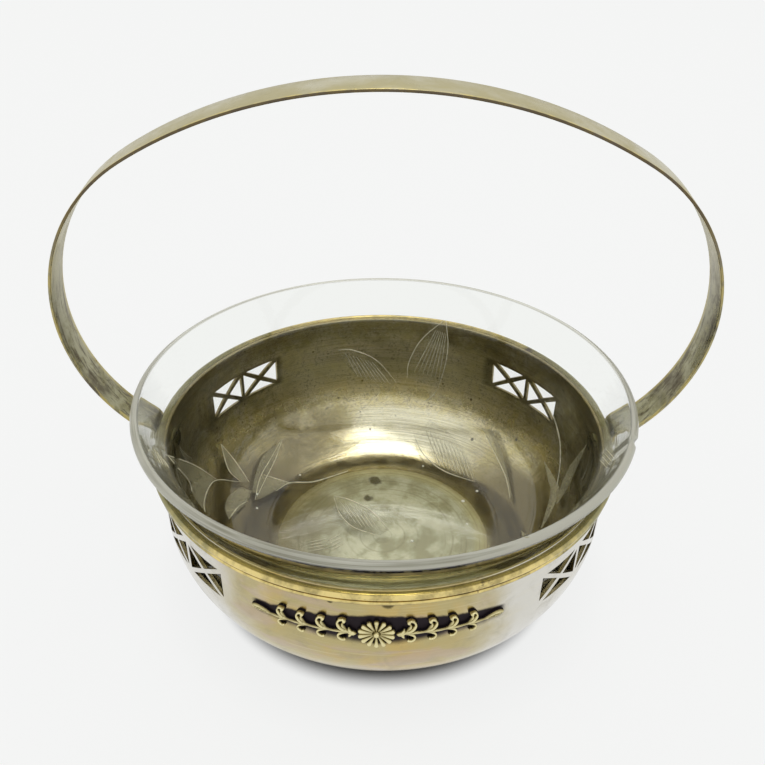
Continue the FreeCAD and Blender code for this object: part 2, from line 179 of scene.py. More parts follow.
def mixShaders(amount, first, second):
    return addNode("MixShader", {0: amount, 1: first, 2: second}).outputs[0]


def showSurface(output, node="Material Output"):
    feed(current["tree"].nodes[node].inputs["Surface"], output)


def newMaterial(name, metallic=0.0, roughness=0.5):
    material = bpy.data.materials.new(name)
    material.use_nodes = True
    current["tree"] = material.node_tree
    shader = material.node_tree.nodes["Principled BSDF"]
    shader.inputs["Metallic"].default_value = metallic
    shader.inputs["Roughness"].default_value = roughness
    return material, shader


def paint(shader, colour, rough=None):
    feed(shader.inputs["Base Color"], colour)
    feed(shader.inputs["Roughness"], rough)


def bump(shader, height, distance, strength):
    node = addNode("Bump", {"Height": height, "Distance": distance * mm, "Strength": strength})
    feed(shader.inputs["Normal"], node.outputs[0])


def objectSpot():
    return addNode("TexCoord").outputs["Object"]


def apart(vector):
    return addNode("SeparateXYZ", {0: vector}).outputs


def together(x, y, z):
    return addNode("CombineXYZ", {0: x, 1: y, 2: z}).outputs[0]


def spinning(spot):
    # radius, height, and coordinates that run round the bowl and along its section
    x, y, z = apart(spot)
    radius = calc("SQRT", calc("ADD", times(x, x), times(y, y)))
    safe = calc("MAXIMUM", radius, 0.5 * mm)
    along = calc("MULTIPLY_ADD", z, 1.7, radius)
    turned = together(calc("DIVIDE", x, safe), calc("DIVIDE", y, safe), along)
    return radius, z, turned


def blot(spot, centre, reach, noise):
    # one soft stain round a place
    node = addNode("VectorMath", {0: spot, 1: centre}, operation="DISTANCE")
    away = strayed(node.outputs["Value"], noise, reach * 1.6)
    return band(away, reach * 0.55, reach, 1.0, 0.0)


# shape helpers, all in millimetres until a mesh is made


def arcPoints(across, up, radius, first, last, count):
    points = []
    for i in range(count + 1):
        angle = math.radians(first + (last - first) * i / count)
        points.append((across + radius * math.cos(angle), up + radius * math.sin(angle)))
    return points


def toMesh(work, name):
    mesh = bpy.data.meshes.new(name)
    work.to_mesh(mesh)
    work.free()
    return mesh


def finishMesh(name, mesh, material, body, replaced, sharp=35):
    mesh.validate()
    mesh.shade_smooth()
    mesh.set_sharp_from_angle(angle=math.radians(sharp))
    mesh.materials.append(material)
    piece = addObject(name, mesh)
    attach(piece, body)
    if replaced:
        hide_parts(*replaced)


def spin(outlines, steps, axis="Z"):
    # turns closed outlines of (radius, height) right round an axis
    work = bmesh.new()
    for ring in outlines:
        rows = []
        for across, up in ring:
            row = []
            for i in range(steps if across > 1e-6 else 1):
                angle = 2 * math.pi * i / steps
                x, y = across * math.cos(angle), across * math.sin(angle)
                row.append(work.verts.new(Vector((x, y, up) if axis == "Z" else (up, x, y)) * mm))
            rows.append(row)
        for i, row in enumerate(rows):
            after = rows[(i + 1) % len(rows)]
            if len(row) == 1 and len(after) == 1:
                continue
            for j in range(steps):
                k = (j + 1) % steps
                corners = [row[j % len(row)], row[k % len(row)], after[k % len(after)], after[j % len(after)]]
                work.faces.new(list(dict.fromkeys(corners)))
    bmesh.ops.recalc_face_normals(work, faces=work.faces)
    return toMesh(work, "spun")


def laySkins(work, cells, vertAt):
    # a thin closed sheet over the cells of a grid: its top, its underside and the edge between them
    skins = []
    for top in (True, False):
        skin = {key: vertAt(key, top) for key in dict.fromkeys(key for keys in cells for key in keys)}
        for keys in cells:
            corners = [skin[key] for key in keys]
            work.faces.new(corners if top else corners[::-1])
        skins.append(skin)
    keyOf = {vert: key for key, vert in skins[0].items()}
    for edge in [edge for edge in work.edges if edge.is_boundary]:
        first, second = edge.verts
        if first in keyOf and second in keyOf:
            if edge.link_loops[0].vert != first:
                first, second = second, first
            work.faces.new((second, first, skins[1][keyOf[first]], skins[1][keyOf[second]]))


def smoothPath(points, parts=7):
    # a smooth line through rows of numbers
    points = np.array(points, float)
    ends = np.vstack([2 * points[0] - points[1], points, 2 * points[-1] - points[-2]])
    path = []
    for i in range(1, len(ends) - 2):
        for step in range(parts):
            t = step / parts
            a, b, c, d = ends[i - 1], ends[i], ends[i + 1], ends[i + 2]
            path.append(0.5 * (
                2 * b + (c - a) * t + (2 * a - 5 * b + 4 * c - d) * t ** 2 + (3 * b - a - 3 * c + d) * t ** 3
            ))
    path.append(points[-1])
    return np.array(path)


# bowl: one thin sheet, with its pierced panels sawn out
bowl = {
    "rimLevel": 39.0,
    "wall": 53.2,
    "top": 39.4,
    "corner": 24.3,
    "sheet": 0.7,
    "panelAngle": 51.4,
    "cellPitch": 14.0,
    "cellWidth": 12.0,
    "cellHeight": 8.2,
    "cellBar": 1.2,
    "cellDrop": 11.1,
    "sawWobble": 0.13,
    "sawFrom": -3,
    "sawPast": 2,
    "edgeRound": 0.15,
}


def sawCutters():
    # four triangles to a cell, each a little off, as a hand saw leaves them
    wobble = random.Random(7)
    work = bmesh.new()
    halfWidth, halfHeight = bowl["cellWidth"] / 2, bowl["cellHeight"] / 2
    slope = math.hypot(halfWidth, halfHeight)
    gapUp = bowl["cellBar"] / 2 * slope / halfWidth
    gapAcross = bowl["cellBar"] / 2 * slope / halfHeight
    reachAcross = (halfHeight - gapUp) * halfWidth / halfHeight
    reachUp = (halfWidth - gapAcross) * halfHeight / halfWidth
    middle = bowl["rimLevel"] - bowl["cellDrop"]
    for facing, side, end in product((0, 180), (-1, 1), (-0.5, 0.5)):
        angle = math.radians(facing + side * (bowl["panelAngle"] + end * bowl["cellPitch"]))
        out = Vector((math.sin(angle), -math.cos(angle), 0))
        along = Vector((math.cos(angle), math.sin(angle), 0))
        for way, upright in product((1, -1), (True, False)):
            if upright:
                corners = [(0, way * gapUp), (-reachAcross, way * halfHeight), (reachAcross, way * halfHeight)]
            else:
                corners = [(way * gapAcross, 0), (way * halfWidth, reachUp), (way * halfWidth, -reachUp)]
            near, far = [], []
            for across, up in corners:
                across += wobble.uniform(-1, 1) * bowl["sawWobble"]
                up += wobble.uniform(-1, 1) * bowl["sawWobble"]
                spot = along * across + Vector((0, 0, middle + up))
                near.append(work.verts.new((spot + out * (bowl["wall"] + bowl["sawFrom"])) * mm))
                far.append(work.verts.new((spot + out * (bowl["wall"] + bowl["sawPast"])) * mm))
            work.faces.new(near)
            work.faces.new(far[::-1])
            for i in range(3):
                j = (i + 1) % 3
                work.faces.new((near[j], near[i], far[i], far[j]))
    bmesh.ops.recalc_face_normals(work, faces=work.faces)
    return addObject("sawCutters", toMesh(work, "sawCutters"))


def spinBowl():
    wall, corner, sheet, top, soft = [bowl[key] for key in ("wall", "corner", "sheet", "top", "edgeRound")]
    rows = [corner + (top - corner) * i / 14 for i in range(1, 14)]
    outline = [(0, 0), (10, 0), (20, 0)]
    outline += arcPoints(wall - corner, corner, corner, -90, 0, 28)
    outline += [(wall, row) for row in rows]
    outline += [(wall, top - soft), (wall - soft, top), (wall - sheet + soft, top), (wall - sheet, top - soft)]
    outline += [(wall - sheet, row) for row in reversed(rows)]
    outline += arcPoints(wall - corner, corner, corner - sheet, 0, -90, 28)
    outline += [(20, sheet), (10, sheet), (0, sheet)]
    blank = addObject("bowlBlank", spin([outline], 288))
    cutter = sawCutters()
    saw = blank.modifiers.new("saw", "BOOLEAN")
    saw.operation = "DIFFERENCE"
    saw.solver = "EXACT"
    saw.object = cutter
    sawn = blank.evaluated_get(bpy.context.evaluated_depsgraph_get())
    pierced = bpy.data.meshes.new_from_object(sawn)
    bpy.data.objects.remove(blank)
    bpy.data.objects.remove(cutter)
    return pierced


# worn plate on the bowl: gold in the middle of the front and paler, silvery sides, partly a painted reflection;
# tarnish lies inside, with painted shade and a painted highlight
plate = {
    "gold": (0.50, 0.42, 0.20),
    "goldWarm": (0.56, 0.42, 0.16),
    "rose": (0.52, 0.40, 0.32),
    "silverAndSideReflection": (0.70, 0.68, 0.62),
    # the next two colours are painted shade low on the outside: the first also gives mottled dull patches, the
    # second lies along the bottom edge, where there is no foot
    "underShadeAndDull": (0.29, 0.27, 0.18),
    "foot": (0.15, 0.135, 0.085),
    "soot": (0.024, 0.018, 0.022),
    "inside": (0.70, 0.60, 0.29),
    "insidePale": (0.80, 0.71, 0.47),
    "insideDull": (0.43, 0.36, 0.15),
    # a painted highlight
    "polished": (0.97, 0.92, 0.72),
    "tarnish": (0.10, 0.075, 0.02),
    "brown": (0.15, 0.115, 0.045),
    "ring": (0.055, 0.040, 0.012),
    "ringGold": (0.50, 0.44, 0.20),
    "floor": (0.56, 0.54, 0.38),
    "floorDull": (0.33, 0.31, 0.18),
}

# noises on the plate: what they follow, scale, detail, roughness and swirl
plateNoises = {
    "soft": ("spot", 60, 4, 0.55, 0.4),
    "mottle": ("spot", 190, 6, 0.68, 0.7),
    "fine": ("spot", 900, 5, 0.65),
    "ragged": ("spot", 420, 4),
    "cloudy": ("spot", 130, 4, 0.6),
    "blotched": ("spot", 110, 2),
    "speckled": ("spot", 1400, 3, 0.6),
    "blush": ("spot", (70, 70, 170), 4, 0.55, 0.5),
    "patches": ("spot", (95, 95, 150), 7, 0.72, 1.0),
    "streak": ("turned", (2.2, 2.2, 1500), 5, 0.65, 0.3),
    "scratch": ("turned", (7, 7, 5200), 3, 0.6),
    "grain": ("turned", (55, 55, 2300), 3, 0.65),
    "wheel": ("radii", 1400, 3, 0.6),
}

# coats from the bottom up, lengths in metres
outsideCoats = [
    ("goldWarm", ("soft", 0.45, 0.62)),
    ("rose", ("blush", 0.5, 0.64, 0.0, 0.55)),
    ("silverAndSideReflection", ("silverySideReflection", 0.018, 0.031)),
    # the lower outside is painted darker, a painted shade for the shadowed floor it mirrors, and its bottom edge
    # is darker still, also painted shade; mottled dull patches follow
    ("underShadeAndDull", ("level", 0.0135, 0.0065, 0.0, 0.6)),
    ("foot", ("level", 0.0088, 0.0060, 0.0, 0.8)),
    ("underShadeAndDull", ("mottle", 0.5, 0.75, 0.0, 0.28)),
    ("insidePale", ("streak", 0.52, 0.72, 0.0, 0.3)),
    ("soot", "sooty"),
]

floorCoats = [
    ("floorDull", ("cloudy", 0.42, 0.62)),
    ("floorDull", ("fine", 0.5, 0.75, 0.0, 0.4)),
    ("floorDull", ("radius", 0.011, 0.019), ("patches", 0.5, 0.62, 0.15, 0.6)),
]

insideCoats = [
    ("insidePale", ("mottle", 0.36, 0.62)),
    ("insideDull", ("soft", 0.5, 0.66, 0.0, 0.75)),
    ("insideDull", ("streak", 0.48, 0.66, 0.0, 0.6)),
    ("insidePale", ("scratch", 0.54, 0.7, 0.0, 0.5)),
    ("brown", ("patches", 0.55, 0.72, 0.0, 0.42), ("level", 0.009, 0.02)),
    ("brown", ("grain", 0.48, 0.64, 0.0, 0.4)),
    # the wall is paler in its middle and tarnished under the rim; its sides are painted darker, a painted
    # reflection of the dark wall opposite
    ("insidePale", ("level", 0.011, 0.017), ("wander", 0.037, 0.032), ("aside", 0.044, 0.022),
     ("streak", 0.38, 0.62, 0.62, 0.3)),
    ("tarnish", ("wander", 0.031, 0.0365, 0.0, 0.45)),
    ("tarnish", ("aside", 0.03, 0.05), ("wander", 0.012, 0.024), 0.36),
    # the bend is painted brown, most of all at the front and not at the back, a painted shade where it mirrors
    # the bright surroundings
    ("brown", ("level", 0.017, 0.011), ("y", 0.026, 0.010), ("mottle", 0.3, 0.6, 0.9, 0.65)),
    ("brown", ("level", 0.009, 0.006), ("radius", 0.0262, 0.0282), ("y", 0.030, 0.020, 0.35, 0.8)),
    ("brown", ("speckled", 0.52, 0.62, 0.0, 0.45), ("mottle", 0.4, 0.6)),
    ("wornFloor", "low", ("edge", 0.0284, 0.0256)),
    ("ringGold", "low", *within("radius", 0.0248, 0.0285, 0.0012), 0.5),
    # a painted highlight low on the back, with painted shade to the left of it
    ("brown", ("x", -0.003, -0.026), ("level", 0.017, 0.009), ("patches", 0.4, 0.62, 0.4, 0.75)),
    ("polished", *within("level", 0.0022, 0.0105, 0.0016), ("y", 0.026, 0.036), ("across", 0.025, 0.012),
     ("streak", 0.35, 0.62, 0.9, 0.45)),
    # the dark ring is thin at the back and wider and further out at the sides
    ("ring", ("level", 0.012, 0.009), *within("roam", 0.0300, 0.0345, 0.0011), ("mottle", 0.3, 0.6, 1.0, 0.7)),
    ("ring", "low", *within("radius", 0.0292, 0.0345, 0.0012), ("y", 0.022, 0.012),
     ("mottle", 0.35, 0.6, 0.75, 0.35)),
    ("brown", "low", ("wheel", 0.5, 0.65, 0.0, 0.35)),
    # round the pierced panels, and in the pits
    ("tarnish", *within("level", 0.0232, 0.0326, 0.0006), *within("around", 0.62, 1.18, 0.02),
     ("mottle", 0.3, 0.6, 0.85, 0.5)),
    ("tarnish", ("pits", 0.08, 0.2, 1.0, 0.0), ("blotched", 0.54, 0.62), ("low", 0.0, 1.0, 0.8, 0.2)),
]

# soot behind the garlands, which narrows away from the middle: slope and height of its two edges
soot = {
    "level": 0.0279,
    "aside": 0.0008,
    "ragged": -0.0011,
    "top": (-0.0058, 0.0049),
    "foot": (0.0052, -0.0038),
    "topSoft": (-0.0003, 0.0005),
    "footSoft": (-0.0006, 0.0016),
    "end": (0.47, 0.5),
}

# stains seen in the photograph: pixel across, pixel down, radius in millimetres
stains = {
    "floorUpper": (375, 484, 2.3),
    "floorLower": (368, 501, 1.9),
    "wallMiddle": (370, 430, 0.45),
    "wallUpper": (360, 412, 0.4),
    "wallRight": (472, 399, 0.6),
    "wallRightLow": (473, 440, 0.6),
    "wallFarRight": (518, 440, 0.5),
    "underBead": (388, 604, 1.5),
    "underBeadLeft": (330, 601, 0.7),
}


def sootMask(around, level, noise):
    above = strayed(calc("SUBTRACT", level, soot["level"]), noise, soot["ragged"])
    top = calc("MULTIPLY_ADD", around, *soot["top"])
    foot = calc("MULTIPLY_ADD", around, *soot["foot"])
    return times(
        band(calc("SUBTRACT", top, above), *soot["topSoft"]),
        band(calc("SUBTRACT", above, foot), *soot["footSoft"]),
        band(around, *soot["end"], 1.0, 0.0),
    )


def plateMaterial(mesh):
    material, shader = newMaterial("wornPlateWithPaintedLight", metallic=1.0)
    place = addNode("TexCoord").outputs
    spot, normal = place["Object"], place["Normal"]
    radius, level, turned = spinning(spot)
    x, y = apart(spot)[:2]
    aside = calc("ABSOLUTE", x)
    around = calc("ARCTAN2", calc("ABSOLUTE", calc("ADD", x, soot["aside"])), calc("ABSOLUTE", y))
    follow = {"spot": spot, "turned": turned, "radii": together(0.0, 0.0, radius)}
    on = {name: clouds(follow[along], *rest) for name, (along, *rest) in plateNoises.items()}
    on["patches"] = calc("MULTIPLY_ADD", aside, 2.2, on["patches"])
    on.update(x=x, y=y, aside=aside, radius=radius, level=level, around=around)
    # gold in the middle of the front, a little to the left; the sides are paler and silvery, partly the plate's
    # colour and partly a painted reflection of the white surroundings
    on["silverySideReflection"] = strayed(calc("ABSOLUTE", calc("ADD", x, 0.004)), on["soft"], 0.024)
    on["sooty"] = sootMask(around, level, on["ragged"])
    on["low"] = band(level, 0.006, 0.009, 1.0, 0.0)
    on["wander"] = strayed(level, on["soft"], 0.012)
    on["edge"] = strayed(radius, on["mottle"], 0.004)
    on["across"] = calc("ABSOLUTE", calc("SUBTRACT", x, 0.010))
    on["pits"] = addNode("TexVoronoi", {"Vector": spot, "Scale": 420}).outputs["Distance"]
    roam = strayed(radius, on["patches"], 0.003)
    on["roam"] = calc("SUBTRACT", roam, band(y, 0.030, 0.006, 0.0, 0.0040))

    # the sheet's inner face looks towards the axis, or up on the floor
    facing = addNode("VectorMath", {0: normal, 1: together(x, y, 0.0)}, operation="DOT_PRODUCT")
    inward = calc("SUBTRACT", times(apart(normal)[2], 0.05), facing.outputs["Value"])
    inside = band(inward, -0.004, 0.004)

    outer = lay(plate["gold"], outsideCoats, on, plate)
    wornFloor = lay(plate["floor"], floorCoats, on, plate)
    inner = lay(plate["inside"], insideCoats, on, {**plate, "wornFloor": wornFloor})
    colour = blend(inside, outer, inner)
    solid = searchable(mesh)
    for across, down, reach in stains.values():
        where = throw(solid, (across, down))[0]
        stain = times(blot(spot, where, reach * mm, on["mottle"]), 0.85)
        colour = blend(stain, colour, plate["ring"])
    rough = calc("ADD", band(on["mottle"], 0.3, 0.7, 0.15, 0.27), times(on["sooty"], 0.3))
    rough = calc("ADD", rough, times(inside, band(radius, 0.0285, 0.0270, 0.0, 0.26)))
    rough = calc("ADD", rough, times(inside, band(level, 0.011, 0.022, 0.0, 0.2)))
    paint(shader, colour, rough)
    bump(shader, calc("ADD", on["streak"], times(on["fine"], 0.12)), 0.01, 0.5)
    return material


def makeBowl():
    mesh = spinBowl()
    wornPlateWithPaintedLight = plateMaterial(mesh)
    finishMesh("piercedBowl", mesh, wornPlateWithPaintedLight, "basket", ["bowl_shell"])


makeBowl()
print("bowl made")

# rim: a round bead over a thinner ridge
rim = {"radius": 55.0, "bead": 0.8, "ridge": 0.45, "ridgeDrop": 1.65, "ridgeInset": 0.35, "gap": 0.02}

brass = {
    "bright": (0.82, 0.66, 0.27),
    "dull": (0.32, 0.26, 0.11),
    "grey": (0.30, 0.28, 0.14),
    # grime, and also a painted shade on top of the bead
    "grimeAndShade": (0.05, 0.035, 0.04),
    "tarnish": (0.13, 0.105, 0.03),
    # the next two colours are a painted highlight on the high places of the relief and a painted shade on its
    # slopes
    "relief": (0.80, 0.72, 0.40),
    "reliefSlopeShade": (0.30, 0.25, 0.11),
}


brassCoats = [
    ("dull", ("worn", 0.42, 0.7, 0.0, 0.75)),
    ("grey", ("spread", 0.026, 0.046)),
    # tarnish between the bead and the sheet inside it
    ("tarnish", ("radius", 0.0541, 0.0538), ("level", 0.038, 0.0385), 0.5),
    ("grimeAndShade", "grimeAndShadeMask"),
]

# grime in the groove between bead and ridge and under the ridge, and a painted shade on top of the bead: from,
# to, share
grimeAndShadeLines = [(0.0378, 0.0385, 0.35), (0.0366, 0.0373, 0.5), (0.0397, 0.0400, 0.25)]


def brassMaterial():
    material, shader = newMaterial("bareBrassWithPaintedShade", metallic=1.0)
    spot = objectSpot()
    radius, level = spinning(spot)[:2]
    worn = clouds(spot, 240, 5, 0.62)
    on = {"worn": worn, "radius": radius, "level": level}
    on["spread"] = strayed(calc("ABSOLUTE", apart(spot)[0]), worn, 0.03)
    on["grimeAndShadeMask"] = band(clouds(spot, 130, 5, 0.7), 0.6, 0.68, 0.0, 0.8)
    for low, high, share in grimeAndShadeLines:
        line = covered([*within("level", low, high, 0.00015), share], on)
        on["grimeAndShadeMask"] = calc("MAXIMUM", on["grimeAndShadeMask"], line)
    paint(shader, lay(brass["bright"], brassCoats, on, brass), band(worn, 0.3, 0.7, 0.06, 0.2))
    bump(shader, clouds(spot, 900, 4), 0.03, 0.4)
    return material


bareBrassWithPaintedShade = brassMaterial()


def makeRim():
    level = bowl["rimLevel"]
    inner = bowl["wall"] + rim["gap"]
    ridgeMiddle = rim["radius"] - rim["ridgeInset"] - rim["ridge"]
    strip = [
        (inner, level - rim["ridgeDrop"]),
        (ridgeMiddle, level - rim["ridgeDrop"]),
        (ridgeMiddle, bowl["top"] - 0.1),
        (inner, bowl["top"] - 0.1),
    ]
    bead = arcPoints(rim["radius"] - rim["bead"], level, rim["bead"], 0, 345, 23)
    ridge = arcPoints(ridgeMiddle, level - rim["ridgeDrop"], rim["ridge"], 0, 337.5, 15)
    mesh = spin([strip, bead, ridge], 288)
    finishMesh("rimWire", mesh, bareBrassWithPaintedShade, "basket", ["rim_wire"], sharp=50)


makeRim()
print("rim made")

# garlands: pressed relief, as a fine sheet of heights wrapped on the wall
garland = {
    "level": bowl["rimLevel"] - bowl["cellDrop"],
    "turn": -1.0,
    "grid": 0.1,
    "halfLength": 26.5,
    "halfHeight": 4.6,
    "sunk": 0.15,
    "underside": -0.3,
    "rosette": 3.75,
    "petals": 14,
    "petalFoot": 0.75,
    "petalEnd": 0.62,
    "boss": 0.62,
    "ground": 0.08,
    "firstScroll": 5.35,
    "scrollPitch": 4.18,
    "scrolls": 4,
    "leafGap": 0.6,
    "empty": -1.0,
}

# ribs and pressed lines of one half: across, up, half width, height
husk = {
    "middle": [(3.85, 0, 0.14, 0.6), (4.5, 0.0, 0.52, 1.0), (5.5, 0, 0.34, 0.7)],
    "upper": [(4.5, 0.1, 0.22, 0.6), (5.1, 0.6, 0.4, 0.9), (5.35, 1.25, 0.2, 0.6)],
    "lower": [(4.5, -0.1, 0.22, 0.6), (5.1, -0.6, 0.4, 0.9), (5.35, -1.25, 0.2, 0.6)],
}

scroll = {
    "upper": [(-0.9, 0.0, 0.2, 0.5), (0.3, 0.3, 0.36, 0.75), (1.45, 1.0, 0.46, 0.95), (2.05, 2.1, 0.38, 1.0),
              (1.85, 3.1, 0.33, 1.0), (1.25, 3.6, 0.33, 1.05), (0.75, 3.5, 0.34, 1.1)],
    "blade": [(0.3, 0.4, 0.25, 0.5), (1.0, 1.15, 0.52, 0.7), (1.2, 2.0, 0.36, 0.75), (0.9, 2.7, 0.16, 0.5)],
    "lower": [(-0.4, -0.05, 0.2, 0.5), (0.9, -0.2, 0.3, 0.7), (1.85, -0.65, 0.33, 0.9),
              (1.95, -1.35, 0.3, 0.95), (1.4, -1.9, 0.28, 0.95), (0.75, -1.8, 0.32, 1.0)],
    "stem": [(0.0, 0.05, 0.28, 0.6), (2.0, 0.1, 0.3, 0.75), (garland["scrollPitch"], 0.05, 0.26, 0.6)],
}
scrollGroove = [(0.75, 0.7, 0.07, 0.1), (1.4, 1.5, 0.1, 0.1), (1.5, 2.5, 0.09, 0.1), (1.1, 3.0, 0.06, 0.1)]
scrollKnob = [(0.72, 3.35, 0.45, 1.3), (0.78, 3.38, 0.45, 1.3)]
endLeaf = [(0.0, 0.0, 0.24, 0.6), (1.5, 0.35, 0.6, 0.85), (3.0, 0.55, 0.74, 0.9), (4.1, 0.5, 0.42, 0.7)]
endGroove = [(0.9, 0.2, 0.12, 0.05), (2.3, 0.46, 0.26, 0.05), (3.6, 0.52, 0.14, 0.05)]

reliefLightCoats = [("relief", ("height", 0.42, 0.85)), ("dull", ("worn", 0.5, 0.75, 0.0, 0.6))]


def reliefMaterial():
    # painted highlight on the high places and painted shade on the lower slopes, black with grime in the hollows
    material, shader = newMaterial("reliefBrassWithPaintedLight", metallic=1.0)
    spot = objectSpot()
    worn = clouds(spot, 600, 5, 0.6)
    height = strayed(addNode("Attribute", attribute_name="relief").outputs["Fac"], worn, 0.22)
    clean = band(height, 0.26, 0.46)
    colour = lay(brass["reliefSlopeShade"], reliefLightCoats, {"height": height, "worn": worn}, brass)
    paint(shader, blend(clean, plate["soot"], colour), band(clean, 0, 1, 0.7, 0.3))
    bump(shader, clouds(spot, 900, 4), 0.03, 0.4)
    return material


def alongPath(path, x, y):
    # how far places are from each part of a path, and where on it they are nearest
    for start, end in zip(path[:-1], path[1:]):
        run = end[:2] - start[:2]
        t = ((x - start[0]) * run[0] + (y - start[1]) * run[1]) / max(run @ run, 1e-9)
        t = np.clip(t, 0, 1)
        yield np.hypot(x - start[0] - t * run[0], y - start[1] - t * run[1]), t, start, end


def raiseRib(field, across, up, points):
    path = smoothPath(points)
    near = (across > path[:, 0].min() - 1) & (across < path[:, 0].max() + 1)
    best = np.full(np.count_nonzero(near), garland["empty"])
    for away, t, start, end in alongPath(path, across[near], up[near]):
        width = start[2] + t * (end[2] - start[2])
        height = start[3] + t * (end[3] - start[3])
        best = np.maximum(best, rounded(height, 1 - (away / width) ** 2))
    field[near] = np.maximum(field[near], best)


def cutGroove(field, across, up, points):
    for away, t, start, end in alongPath(smoothPath(points), across, up):
        field[(away < start[2]) & (field > start[3])] = start[3]


def rounded(height, inside, foot=0.0):
    return np.where(inside > 0, foot + height * np.sqrt(np.maximum(inside, 0)), garland["empty"])


def raiseRosette(field, across, up):
    reach, count, end = garland["rosette"], garland["petals"], garland["petalEnd"]
    distance = np.hypot(across, up)
    angle = np.arctan2(across, up) * count / (2 * np.pi)
    offset = (angle - np.round(angle)) * 2 * np.pi / count * distance
    share = np.clip(distance / reach, 0, 1)
    halfWidth = 0.08 + 0.6 * share
    beyond = np.maximum(distance - (reach - end), 0)
    petals = rounded(0.4 + 0.7 * share, 1 - (offset / halfWidth) ** 2 - (beyond / end) ** 2)
    petals[distance <= garland["petalFoot"]] = garland["empty"]
    ground = np.where(distance < reach - 0.5, garland["ground"], garland["empty"])
    boss = rounded(0.85, 1 - (distance / garland["boss"]) ** 2, foot=0.4)
    field[:] = np.maximum.reduce([field, petals, ground, boss])


def moved(points, root, size=1.0, thick=1.0):
    return [(root + size * across, size * up, thick * half, height) for across, up, half, height in points]


def garlandHeights():
    pitch = garland["grid"]
    columns = np.arange(-garland["halfLength"], garland["halfLength"] + pitch, pitch)
    rows = np.arange(-garland["halfHeight"], garland["halfHeight"] + pitch, pitch)
    across, up = np.meshgrid(columns, rows)
    field = np.full(across.shape, garland["empty"])
    raiseRosette(field, across, up)
    for side in (-1, 1):
        x = across * side
        for points in husk.values():
            raiseRib(field, x, up, points)
        for i in range(garland["scrolls"]):
            root = garland["firstScroll"] + i * garland["scrollPitch"]
            size = 1.04 - 0.05 * i
            for points in scroll.values():
                raiseRib(field, x, up, moved(points, root, size, size))
            cutGroove(field, x, up, moved(scrollGroove, root, size))
            raiseRib(field, x, up, moved(scrollKnob, root, size))
        root = garland["firstScroll"] + garland["scrolls"] * garland["scrollPitch"] - garland["leafGap"]
        raiseRib(field, x, up, moved(endLeaf, root))
        cutGroove(field, x, up, moved(endGroove, root))
    return across, up, field


def makeGarland(name, facing, node):
    across, up, field = garlandHeights()
    tall = np.maximum(field, -garland["sunk"])
    shown = field > 0
    wanted = shown[:-1, :-1] | shown[1:, :-1] | shown[:-1, 1:] | shown[1:, 1:]
    radius = bowl["wall"]
    turn = math.radians(facing + garland["turn"])
    work = bmesh.new()
    relief = work.verts.layers.float.new("relief")

    def vertAt(key, top):
        out = radius + (tall[key] if top else garland["underside"])
        angle = across[key] / radius + turn
        place = Vector((out * math.sin(angle), -out * math.cos(angle), garland["level"] + up[key]))
        vert = work.verts.new(place * mm)
        vert[relief] = tall[key]
        return vert

    cells = [[(i, j), (i, j + 1), (i + 1, j + 1), (i + 1, j)] for i, j in zip(*np.nonzero(wanted))]
    laySkins(work, cells, vertAt)
    finishMesh(name, toMesh(work, name), reliefBrassWithPaintedLight, "basket", [node], sharp=180)


reliefBrassWithPaintedLight = reliefMaterial()
makeGarland("frontRelief", 0, "front_garland")
makeGarland("backRelief", 180, "back_garland")
print("garlands made")

# handle: a flat strap bent to a hoop and hung on two rivets
handle = {
    "pivotLevel": 34.0,
    "inner": 55.5,
    "thickness": 0.6,
    "width": 7.7,
    "edgeRound": 0.18,
    "swell": 14.5,
    "wideLevel": 36.0,
    "topLevel": 86.5,
    "shoulderShare": 0.85,
    "tab": 3.6,
    "foot": 2.2,
    "lean": 6.0,
}

strap = {
    "crown": (0.45, 0.40, 0.21),
    "crownPale": (0.53, 0.49, 0.33),
    "flank": (0.27, 0.25, 0.14),
    "flankPale": (0.43, 0.41, 0.28),
    "flankDark": (0.09, 0.07, 0.045),
    # a painted shade on the narrow side that faces the front
    "edge": (0.07, 0.045, 0.035),
    "edgeGold": (0.70, 0.58, 0.22),
}


crownCoats = [("crownPale", ("soft", 0.42, 0.62)), ("flank", ("drawn", 0.55, 0.75, 0.0, 0.4))]

flankCoats = [
    ("flankPale", ("worn", 0.38, 0.6)),
    ("flankDark", ("drawn", 0.5, 0.62, 0.0, 0.75)),
    ("flankDark", ("soft", 0.5, 0.64), ("worn", 0.42, 0.55), 0.75),
]

# front edge, back edge, and the strap's narrow side that faces the front, painted dark as a painted shade
strapCoats = [
    ("edgeGold", ("across", -0.0029, -0.0036), ("drawn", 0.42, 0.6), 0.8),
    ("edgeGold", ("across", 0.0026, 0.0036), ("height", 0.1, 0.07), 0.5),
    ("edge", ("sideways", -0.5, -0.8), ("height", 0.075, 0.1, 0.2, 0.85)),
]


def strapMaterial():
    material, shader = newMaterial("strapPlateWithPaintedLight", metallic=1.0)
    place = addNode("TexCoord").outputs
    spot = place["Object"]
    lean = math.radians(handle["lean"])
    sideways = (0, math.cos(lean), math.sin(lean))
    across = addNode("VectorMath", {0: spot, 1: sideways}, operation="DOT_PRODUCT")
    on = {
        "across": calc("SUBTRACT", across.outputs["Value"], handle["pivotLevel"] * mm * math.sin(lean)),
        "height": apart(spot)[2],
        "sideways": apart(place["Normal"])[1],
        "soft": clouds(spot, 70, 4, 0.6, 0.5),
        "worn": clouds(spot, 260, 6, 0.7, 0.6),
        "drawn": clouds(spot, (420, 1100, 90), 5, 0.65),
    }
    crown = lay(strap["crown"], crownCoats, on, strap)
    flank = lay(strap["flank"], flankCoats, on, strap)
    # the crown is paler than the flanks: partly a painted highlight from above, partly darker tarnish on the
    # flanks
    colour = blend(band(on["height"], 0.07, 0.1), flank, crown)
    paint(shader, lay(colour, strapCoats, on, strap), band(on["worn"], 0.3, 0.7, 0.26, 0.42))
    bump(shader, calc("ADD", on["drawn"], clouds(spot, 1000, 4, 0.65)), 0.03, 0.5)
    return material


